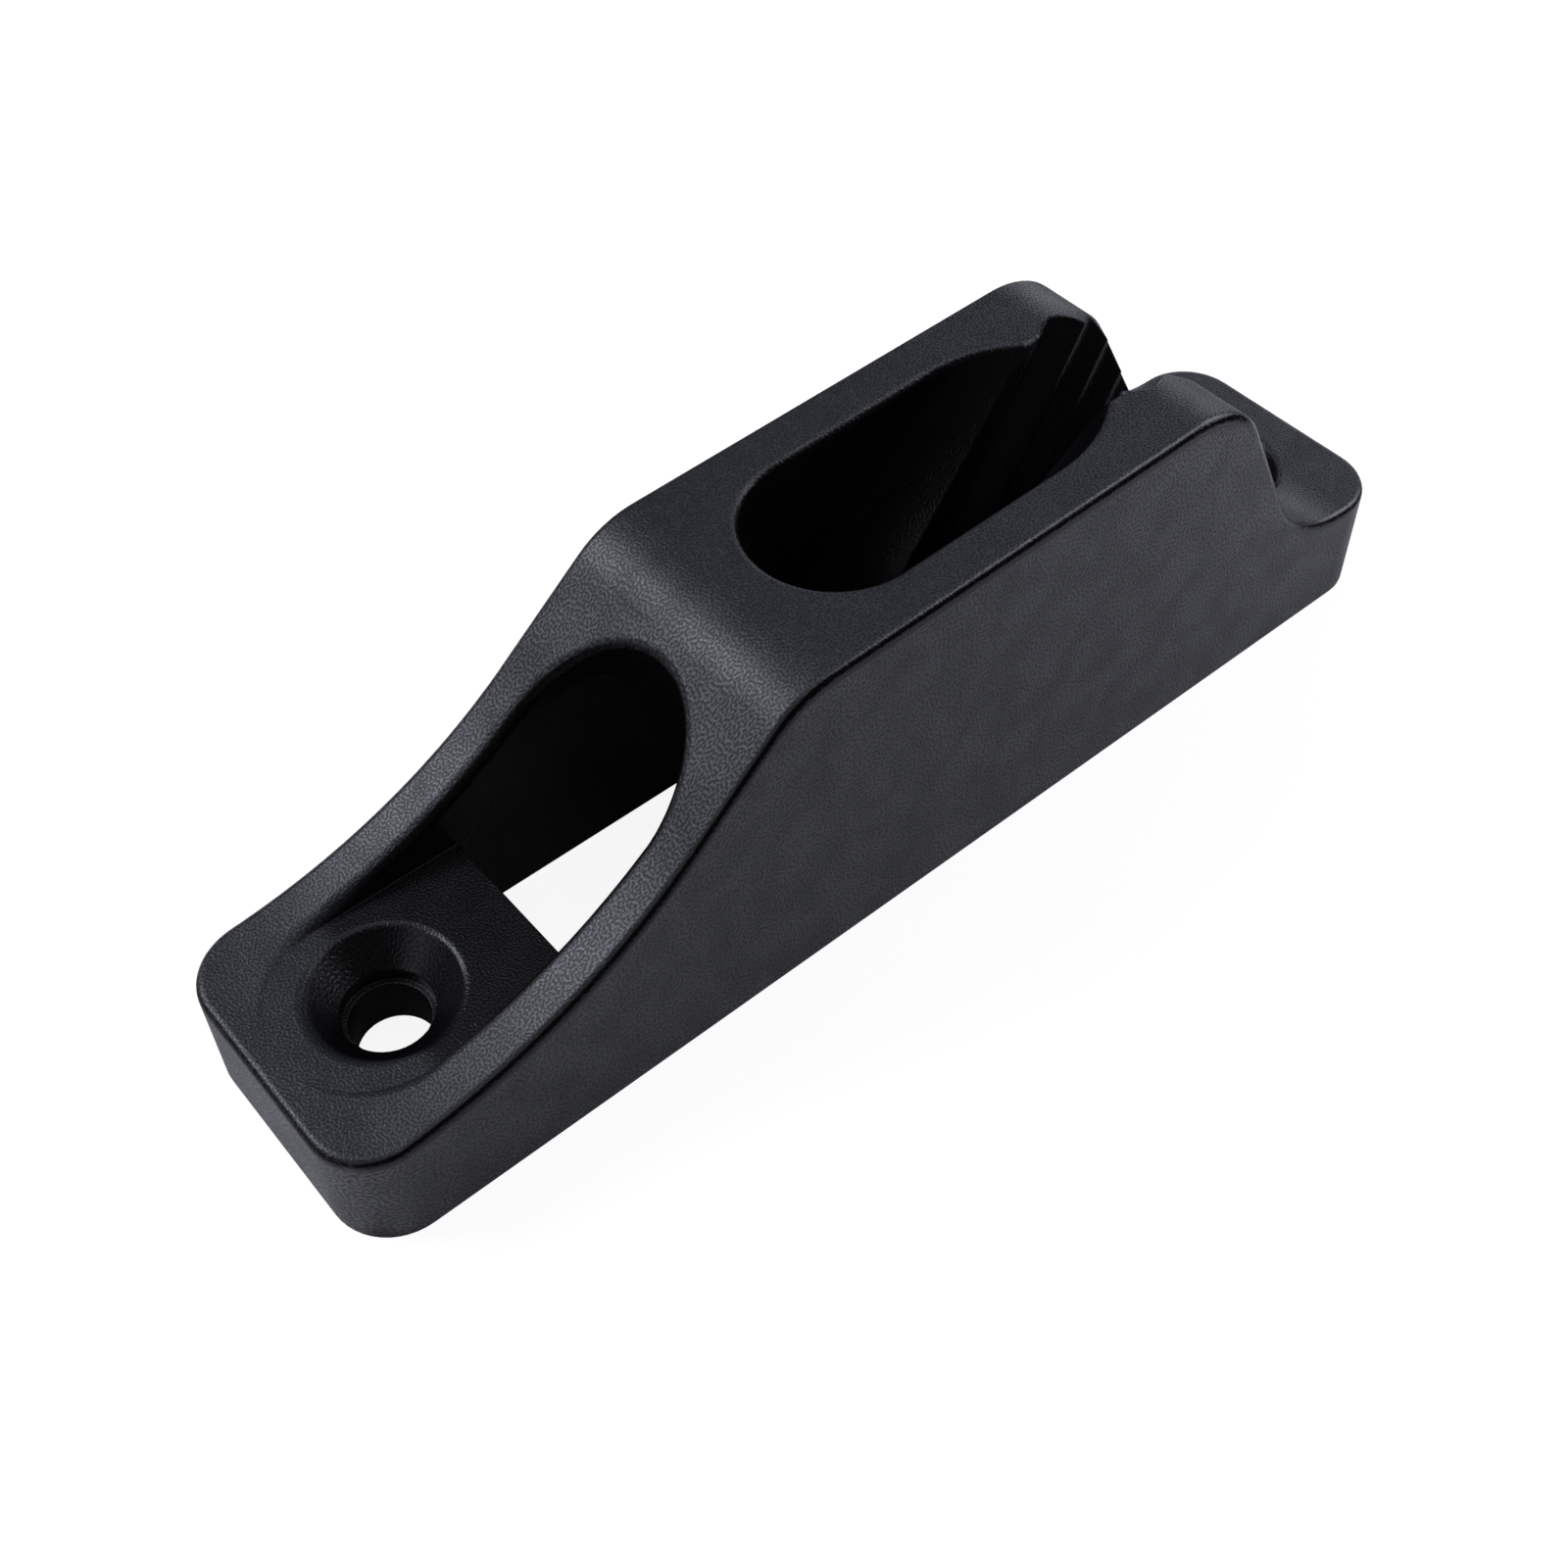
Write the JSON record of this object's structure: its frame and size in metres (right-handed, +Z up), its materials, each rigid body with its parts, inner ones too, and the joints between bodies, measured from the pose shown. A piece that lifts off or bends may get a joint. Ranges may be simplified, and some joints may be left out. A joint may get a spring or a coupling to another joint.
{
  "type": "locking cleat",
  "caption": "Moulded plastic deck cleat with a fairlead tunnel in its ramp, an open slot and leaning V jaws that grip a line, screwed down through its two ends.",
  "frame": {"origin": "centre of the flat base", "axes": "+X from the front foot to the rear tongue, along the line; +Y across; +Z up from the base"},
  "size_m": [0.0862, 0.0196, 0.0251],
  "materials": {
    "body": "fine moulded grain, near black"
  },
  "bodies": {
    "root": {"cleat_body": "body"}
  },
  "joints": []
}
